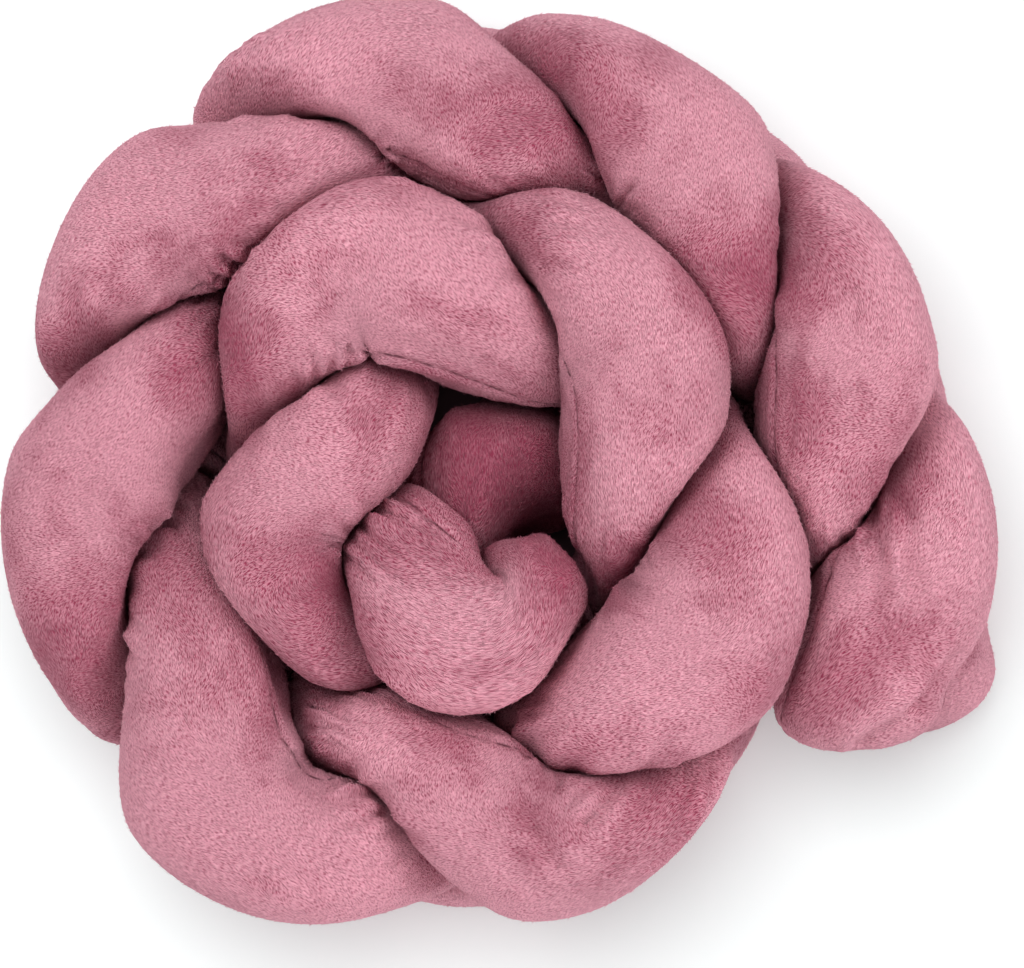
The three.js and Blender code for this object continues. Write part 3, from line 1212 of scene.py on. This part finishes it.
@dataclass(frozen=True)
class PlushFinish:
    """Short brushed plush: pile strokes, brushed-up dark patches, painted shade at creases and in the
    coil's eye, and a sewn seam.
    """

    name: str = PLUSH_SLOT
    lit: Colour = (0.90, 0.46, 0.545, 1.0)
    light: Colour = (0.79, 0.345, 0.432, 1.0)
    # dark is the tone of brushed-up pile and of the painted shade.
    dark: Colour = (0.31, 0.044, 0.090, 1.0)
    thread: Colour = (0.12, 0.022, 0.038, 1.0)
    stroke: Span = (0.0019, 0.00037)
    stroke_height: float = 0.0026
    stroke_bump: float = 0.9
    stroke_detail: float = 1.0
    stroke_roughness: float = 0.4
    lays: int = 9
    lay_share: Span = (0.74, 1.0)
    groove: Span = (0.52, 0.28)
    groove_shade: float = 0.68
    groove_nap: float = 0.07
    nap_shade: float = 0.49
    ridge: Span = (0.50, 0.72)
    ridge_light: float = 0.45
    ridge_nap: float = 0.25
    seam_line: Span = (0.0003, 0.0012)
    seam_hidden: Span = (0.65, 0.4)
    seam_scale: float = 90.0
    seam_detail: float = 2.0
    thread_share: float = 0.8
    roughness: float = 0.95
    specular: float = 0.15
    sheen: float = 0.06
    sheen_roughness: float = 0.45
    sheen_colour: Colour = (1.0, 0.72, 0.79, 1.0)

    def material(self) -> bpy.types.Material:
        """Makes the material.

        Returns:
            The plush, which reads the skin's UV maps, its darkness from brushing and painted shade, and
            the lay of its pile.
        """
        board = Board(self.name)
        nap_and_shade = board.node("ShaderNodeAttribute", {"attribute_name": "nap_and_shade"}, {}, "Fac")
        strokes = self._strokes(board)
        seam = self._seam(board)
        # Painted shade in the pile's grooves and painted highlight on its ridges.
        groove = (self.groove_shade + self.groove_nap * nap_and_shade) * strokes.step(*self.groove)
        ridge = (self.ridge_light - self.ridge_nap * nap_and_shade) * strokes.step(*self.ridge)
        # Painted shade: the skin's darkening field, from brushing and painted shade at creases and in
        # the coil's eye, blends the colour towards dark.
        colour = board.blend(self.nap_shade * nap_and_shade + groove, self.light, self.dark)
        colour = board.blend(ridge, colour, self.lit)
        colour = board.blend(self.thread_share * seam, colour, self.thread)
        bump = {"Strength": self.stroke_bump, "Distance": self.stroke_height, "Height": strokes}
        return board.dress(
            Base_Color=colour,
            Roughness=self.roughness,
            Specular_IOR_Level=self.specular,
            Sheen_Weight=self.sheen,
            Sheen_Roughness=self.sheen_roughness,
            Sheen_Tint=self.sheen_colour,
            Normal=board.node("ShaderNodeBump", {}, bump, "Normal"),
        )

    def _strokes(self, board: Board) -> Shade:
        """Draws locks of pile out along its lay.

        Args:
            board: The material's node tree.

        Returns:
            The height of the locks, about a half.
        """
        place = board.node("ShaderNodeUVMap", {"uv_map": "pile"}, {})
        lay = board.node("ShaderNodeAttribute", {"attribute_name": "lay"}, {}, "Vector")
        lay = board.node("ShaderNodeVectorMath", {"operation": "NORMALIZE"}, {0: lay}, "Vector")
        along = board.node("ShaderNodeSeparateXYZ", {}, {0: lay}, "X")
        aside = board.node("ShaderNodeSeparateXYZ", {}, {0: lay}, "Y")
        size = (*self.stroke, 1.0)
        total: Number = 0.0
        power: Number = 0.0
        for number in range(self.lays):
            angle = math.pi * number / self.lays
            share = along * math.cos(2 * angle) + aside * math.sin(2 * angle)
            share = share.step(*self.lay_share)
            turned = {"Vector": place, "Rotation": (0.0, 0.0, angle), "Scale": size}
            drawn = board.node("ShaderNodeMapping", {"vector_type": "TEXTURE"}, turned)
            detail = {"Detail": self.stroke_detail, "Roughness": self.stroke_roughness}
            noise = board.noise({"Vector": drawn, "Scale": 1.0, **detail})
            total = total + share * (noise - 0.5)
            power = power + share * share
        return 0.5 + total / power**0.5

    def _seam(self, board: Board) -> Shade:
        """Draws the dark line of the seam, which the pile hides here and there.

        Args:
            board: The material's node tree.

        Returns:
            How much of the thread shows.
        """
        seam_map = board.node("ShaderNodeUVMap", {"uv_map": "seam"}, {})
        apart = abs(board.node("ShaderNodeSeparateXYZ", {}, {0: seam_map}, "Y"))
        sockets = {"Vector": seam_map, "Scale": self.seam_scale, "Detail": self.seam_detail}
        shown = board.noise(sockets).step(*self.seam_hidden)
        return (1 - apart.step(*self.seam_line)) * shown


@dataclass(frozen=True)
class PileFinish:
    """The locks of pile, with painted shade at the root and light at the tip; their tips darken with the
    skin's brushing and painted shade.
    """

    name: str = "rose_pile"
    # Painted shade: the root colour darkens each lock towards its root, deep in the pile.
    root: Colour = (0.52, 0.19, 0.245, 1.0)
    tip: Colour = (0.80, 0.40, 0.48, 1.0)
    # brushed is the tips' tone where the skin is brushed up and where shade is painted.
    brushed: Colour = (0.44, 0.115, 0.17, 1.0)
    brushed_and_shade_share: float = 0.7
    root_part: Span = (0.0, 0.6)
    roughness: float = 0.95
    specular: float = 0.1
    sheen: float = 0.06
    sheen_roughness: float = 0.45
    sheen_colour: Colour = (1.0, 0.72, 0.79, 1.0)

    def material(self) -> bpy.types.Material:
        """Makes the material.

        Returns:
            The pile, which reads each lock's own UV map.
        """
        board = Board(self.name)
        lock = board.node("ShaderNodeUVMap", {"uv_map": "lock"}, {})
        nap_and_shade = board.node("ShaderNodeSeparateXYZ", {}, {0: lock}, "X")
        height = board.node("ShaderNodeSeparateXYZ", {}, {0: lock}, "Y")
        # Painted shade: the tips darken with the skin's brushing and painted shade.
        tip = board.blend(self.brushed_and_shade_share * nap_and_shade, self.tip, self.brushed)
        colour = board.blend(height.step(*self.root_part), self.root, tip)
        return board.dress(
            Base_Color=colour,
            Roughness=self.roughness,
            Specular_IOR_Level=self.specular,
            Sheen_Weight=self.sheen,
            Sheen_Roughness=self.sheen_roughness,
            Sheen_Tint=self.sheen_colour,
        )


@dataclass
class Bumper:
    """The whole bumper: its three tubes of plush and the pile on them."""

    plait: Plait
    plush: PlushFinish
    pile: PileFinish
    fill: float = 0.8
    seed_step: int = 100
    shift: np.ndarray = field(init=False)

    def build(self) -> list[bpy.types.Object]:
        """Makes the tubes and their pile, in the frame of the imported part.

        Returns:
            All pieces.
        """
        seeds = [self.seed_step * number for number in range(1, len(TUBES) + 1)]
        skins = [TubeSkin(plan, self.plait, seed) for plan, seed in zip(TUBES, seeds)]
        self.shift = self._shift(skins)
        plush, pile = self.plush.material(), self.pile.material()
        pieces = []
        for skin in skins:
            skin.points = skin.points + self.shift
            skin.tips = skin.tips + self.shift
            tube = self._piece(skin.mesh(), plush)
            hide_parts(skin.plan.name)
            locks = self._piece(Pile(skin, seed=skin.seed + Draw.LOCKS).mesh(), pile)
            pieces += [tube, locks]
        return pieces

    @staticmethod
    def _shift(skins: list[TubeSkin]) -> np.ndarray:
        """Finds the move that brings the middle of the coil's box over the origin.

        Args:
            skins: The tubes' skins.

        Returns:
            The move.
        """
        points = np.vstack([skin.points.reshape(-1, 3) for skin in skins])
        middle = (points.min(axis=0) + points.max(axis=0)) / 2
        return np.array([-middle[0], -middle[1], 0.0])

    @staticmethod
    def _piece(mesh: bpy.types.Mesh, material: bpy.types.Material) -> bpy.types.Object:
        """Makes an object of a mesh, dresses it and lets it ride with the part.

        Args:
            mesh: The piece's mesh.
            material: Its material.

        Returns:
            The piece.
        """
        piece = bpy.data.objects.new(mesh.name, mesh)
        bpy.context.scene.collection.objects.link(piece)
        mesh.materials.append(material)
        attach(piece, BODY)
        LOG.info("%s: %d faces", piece.name, len(mesh.polygons))
        return piece


class OnFloor(Enum):
    """What a lamp does for the floor: it leaves it out, or lights it alone."""

    LEFT_OUT = "EXCLUDE"
    ALONE = "INCLUDE"


@dataclass(frozen=True)
class Lamp:
    """A soft round lamp that faces the coil, with its power in watts."""

    name: str
    place: tuple[float, float, float]
    size: float
    power: float
    on_floor: OnFloor = OnFloor.LEFT_OUT

    def hang(self, floor: bpy.types.Object) -> None:
        """Hangs the lamp.

        Args:
            floor: The floor, which the lamp leaves out or lights alone.
        """
        bpy.ops.object.light_add(type="AREA", location=self.place)
        lamp = bpy.context.object
        lamp.name = self.name
        lamp.data.shape = "DISK"
        lamp.data.size = self.size
        lamp.data.energy = self.power
        x, y, z = self.place
        lamp.rotation_euler = (math.atan2(math.hypot(x, y), z), 0.0, math.atan2(x, -y))
        group = bpy.data.collections.new(self.name + "_and_floor")
        group.objects.link(floor)
        group.collection_objects[0].light_linking.link_state = self.on_floor.value
        lamp.light_linking.receiver_collection = group


LAMPS = (
    Lamp("key", place=(-0.8, 0.8, 1.4), size=1.2, power=17.0),
    Lamp("right", place=(1.2, 0.3, 1.1), size=1.4, power=15.0),
    Lamp("front", place=(0.2, -1.3, 1.0), size=1.4, power=12.0),
    Lamp("overhead", place=(-0.16, 0.28, 1.75), size=1.0, power=19.5, on_floor=OnFloor.ALONE),
)


@dataclass(frozen=True)
class Glow:
    """A soft glow of the floor, painted light: its share, and how far from the middle it starts and is
    full.
    """

    share: float
    start: float
    full: float


GLOWS = (
    Glow(share=0.36, start=0.12, full=0.20),
    Glow(share=0.14, start=0.26, full=0.42),
    Glow(share=0.50, start=0.5, full=2.0),
)


@dataclass(frozen=True)
class Studio:
    """A pale floor with painted shade in the eye of the coil and a glow of painted light, soft lamps, an
    even sky, and a camera above.
    """

    camera_height: float = 1.85
    picture_width: int = 1024
    picture_height: int = 968
    crest_scale: float = 0.5376e-3
    crest_level: float = 0.138
    coil_pixel: Span = (498.0, 461.0)
    sensor: float = 36.0
    floor_size: float = 40.0
    floor_colour: Colour = (0.86, 0.92, 0.915, 1.0)
    eye_shade_colour: Colour = (0.10, 0.05, 0.06, 1.0)
    glow: float = 0.5
    sky: float = 0.54

    def build(self, shift: np.ndarray) -> None:
        """Sets the floor, the lights and the camera.

        Args:
            shift: How far the coil was moved from its own middle.
        """
        floor = self._floor()
        for lamp in LAMPS:
            lamp.hang(floor)
        self._sky()
        self._camera(shift)
        bpy.context.scene.view_settings.view_transform = "Standard"

    def _floor(self) -> bpy.types.Object:
        """Lays a wide floor.

        Returns:
            The floor.
        """
        bpy.ops.object.select_all(action="DESELECT")
        bpy.ops.mesh.primitive_plane_add(size=self.floor_size)
        floor = bpy.context.object
        floor.name = "floor"
        board = Board("pale_floor")
        place = board.node("ShaderNodeTexCoord", {}, {}, "Object")
        away = board.node("ShaderNodeVectorMath", {"operation": "LENGTH"}, {0: place}, "Value")
        # Painted light: the floor glows, not at all under the coil's eye and more away from the coil, to
        # lift it to white and soften the coil's shadow.
        rim, near, far = (glow.share * away.step(glow.start, glow.full) for glow in GLOWS)
        # Painted shade: the floor is dark under the coil's eye, where gaps between the tubes reach it.
        outside = away.step(GLOWS[0].start, GLOWS[0].full)
        floor.data.materials.append(
            board.dress(
                Base_Color=board.blend(outside, self.eye_shade_colour, self.floor_colour),
                Roughness=1.0,
                Specular_IOR_Level=0.0,
                Emission_Color=board.blend(rim + near + far, BLACK, WHITE),
                Emission_Strength=self.glow,
            )
        )
        return floor

    def _sky(self) -> None:
        """Fills in with an even sky."""
        world = bpy.data.worlds.new("studio")
        bpy.context.scene.world = world
        world.use_nodes = True
        sky = world.node_tree.nodes["Background"]
        sky.inputs["Color"].default_value = WHITE
        sky.inputs["Strength"].default_value = self.sky

    def _camera(self, shift: np.ndarray) -> None:
        """Hangs the camera straight above, with the picture's own scale.

        Args:
            shift: How far the coil was moved from its own middle.
        """
        scale = self.crest_scale / (1 - self.crest_level / self.camera_height)
        x = (self.picture_width / 2 - self.coil_pixel[0]) * self.crest_scale + shift[0]
        y = (self.coil_pixel[1] - self.picture_height / 2) * self.crest_scale + shift[1]
        bpy.ops.object.camera_add(location=(x, y, self.camera_height), rotation=(0, 0, 0))
        camera = bpy.context.object
        camera.name = "camera"
        camera.data.sensor_fit = "HORIZONTAL"
        camera.data.sensor_width = self.sensor
        camera.data.lens = self.sensor * self.camera_height / (scale * self.picture_width)
        bpy.context.scene.camera = camera


def main() -> None:
    """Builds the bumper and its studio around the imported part."""
    logging.basicConfig(level=logging.INFO, format="%(message)s")
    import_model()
    bumper = Bumper(Plait(), PlushFinish(), PileFinish())
    pieces = bumper.build()
    Studio().build(bumper.shift)
    LOG.info("%d pieces", len(pieces))


if __name__ == "__main__":
    main()
